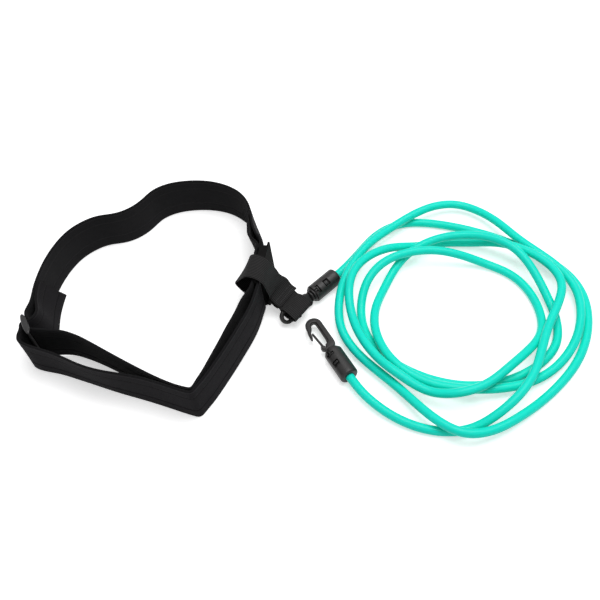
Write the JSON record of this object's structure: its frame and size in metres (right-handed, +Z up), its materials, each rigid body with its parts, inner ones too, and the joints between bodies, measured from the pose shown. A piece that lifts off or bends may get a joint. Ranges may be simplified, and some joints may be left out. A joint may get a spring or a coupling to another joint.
{
  "type": "swim training belt",
  "caption": "Adjustable webbing waist belt with a side-release buckle, a sliding tether loop and a turquoise stretch tube with swivel snap hooks.",
  "frame": {"origin": "on the floor under the middle of the belt and its first hook and barrel, the loose tube left out", "axes": "+X from the adjuster side of the belt towards the tether, +Y from the front fold towards the back band, +Z up, along the strap's width"},
  "size_m": [0.5996, 0.3385, 0.0607],
  "materials": {
    "strap_webbing": "black woven webbing",
    "tether_webbing": "black ribbed webbing",
    "thread": "black bonded thread",
    "buckle_plastic": "moulded black plastic",
    "barrel_plastic": "moulded charcoal plastic",
    "hook_plastic": "moulded charcoal plastic",
    "stretch_tube": "smooth turquoise latex"
  },
  "bodies": {
    "belt": {"waist_strap": "strap_webbing", "strap_tack_1": "thread", "strap_tack_2": "thread", "strap_slider": "buckle_plastic", "buckle_female": "buckle_plastic", "buckle_male": "buckle_plastic"},
    "upper_arm": {"buckle_arm_upper": "buckle_plastic"},
    "lower_arm": {"buckle_arm_lower": "buckle_plastic"},
    "tether": {"tether_loop": "tether_webbing", "hook_loop": "tether_webbing", "tether_stitch_1": "thread", "tether_stitch_2": "thread", "barrel_1": "barrel_plastic", "swivel_insert_1": "barrel_plastic", "tube_plug_1": "barrel_plastic", "tether_tube": "stretch_tube", "tube_plug_2": "barrel_plastic", "swivel_insert_2": "barrel_plastic", "barrel_2": "barrel_plastic"},
    "first_hook": {"hook_1": "hook_plastic"},
    "first_gate": {"gate_1": "hook_plastic"},
    "second_hook": {"hook_2": "hook_plastic"},
    "second_gate": {"gate_2": "hook_plastic"}
  },
  "joints": [
    {"name": "tether_slide", "type": "slide", "parent": "belt", "child": "tether", "axis": [-0.1908, -0.9816, 0], "range_m": [-0.012, 0.012]},
    {"name": "upper_arm_press", "type": "hinge", "parent": "belt", "child": "upper_arm", "pos_m": [0.0792, -0.00749, 0.0449], "axis": [-0.9816, 0.1908, 0], "range_deg": [0, 9], "stiffness_Nm_per_rad": 0.15},
    {"name": "lower_arm_press", "type": "hinge", "parent": "belt", "child": "lower_arm", "pos_m": [0.0792, -0.00749, 0.0149], "axis": [0.9816, -0.1908, 0], "range_deg": [0, 9], "stiffness_Nm_per_rad": 0.15},
    {"name": "first_hook_swivel", "type": "hinge", "parent": "tether", "child": "first_hook", "pos_m": [0.1346, -0.0063, 0.01], "axis": [-0.7361, -0.6769, 0], "range_deg": [-4, 4]},
    {"name": "first_gate_press", "type": "hinge", "parent": "first_hook", "child": "first_gate", "pos_m": [0.12959, -0.01563, 0.00614], "axis": [-0.503, 0.547, -0.6691], "range_deg": [0, 6], "stiffness_Nm_per_rad": 0.03},
    {"name": "second_hook_swivel", "type": "hinge", "parent": "tether", "child": "second_hook", "pos_m": [0.1536, -0.0843, 0.01], "axis": [-0.4695, 0.8829, 0], "continuous": true},
    {"name": "second_gate_press", "type": "hinge", "parent": "second_hook", "child": "second_gate", "pos_m": [0.14431, -0.07791, 0.01], "axis": [0, 0, -1], "range_deg": [0, 18], "stiffness_Nm_per_rad": 0.03}
  ]
}
